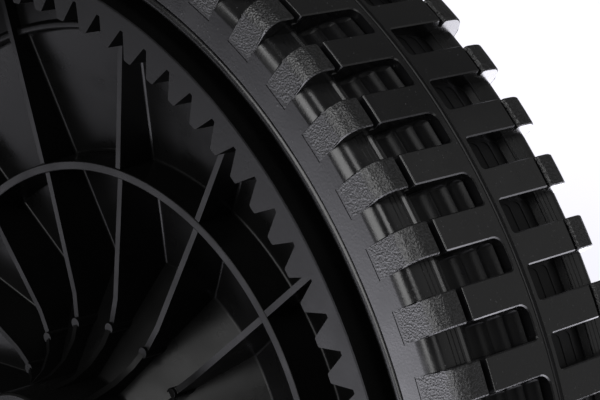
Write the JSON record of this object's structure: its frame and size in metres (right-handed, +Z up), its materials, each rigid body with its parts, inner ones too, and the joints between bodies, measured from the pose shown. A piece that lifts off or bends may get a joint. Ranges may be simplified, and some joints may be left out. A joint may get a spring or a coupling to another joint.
{
  "type": "lawn mower drive wheel",
  "caption": "Plastic drive wheel with an internal ring gear, ribbed dished web and lugged tyre band, turning on shielded ball bearings in its hub.",
  "frame": {"origin": "middle of the axle bore, on the wheel's axis at the middle of the tyre's width", "axes": "+Y along the axle, from the gear side towards the outer side; +Z up"},
  "size_m": [0.28, 0.0552, 0.28],
  "materials": {
    "wheel_plastic": "black moulded polypropylene, satin",
    "tyre_plastic": "black moulded tread, matte with leather grain on the shoulders",
    "bearing_steel": "ground bearing steel",
    "ball_steel": "polished steel",
    "cage_steel": "pressed steel",
    "shield_steel": "pressed steel, satin",
    "spacer_steel": "zinc plated tube"
  },
  "bodies": {
    "axle_core": {"gear_side_inner_ring": "bearing_steel", "outer_side_inner_ring": "bearing_steel", "axle_spacer": "spacer_steel"},
    "wheel": {"wheel_moulding": "wheel_plastic", "tyre": "tyre_plastic", "gear_side_outer_ring": "bearing_steel", "gear_side_near_shield": "shield_steel", "gear_side_far_shield": "shield_steel", "outer_side_outer_ring": "bearing_steel", "outer_side_near_shield": "shield_steel", "outer_side_far_shield": "shield_steel"},
    "gear_side_rollers": {"gear_side_cage": "cage_steel", "gear_side_balls": "ball_steel"},
    "outer_side_rollers": {"outer_side_cage": "cage_steel", "outer_side_balls": "ball_steel"}
  },
  "joints": [
    {"name": "wheel_spin", "type": "hinge", "parent": "axle_core", "child": "wheel", "pos_m": [0, 0, 0], "axis": [0, 1, 0], "continuous": true},
    {"name": "gear_side_roll", "type": "hinge", "parent": "axle_core", "child": "gear_side_rollers", "pos_m": [0, 0, 0], "axis": [0, 1, 0], "continuous": true},
    {"name": "outer_side_roll", "type": "hinge", "parent": "axle_core", "child": "outer_side_rollers", "pos_m": [0, 0, 0], "axis": [0, 1, 0], "continuous": true}
  ],
  "couplings": [
    {"joint": "gear_side_roll", "follows": "wheel_spin", "ratio": 0.6154},
    {"joint": "outer_side_roll", "follows": "wheel_spin", "ratio": 0.6154}
  ]
}
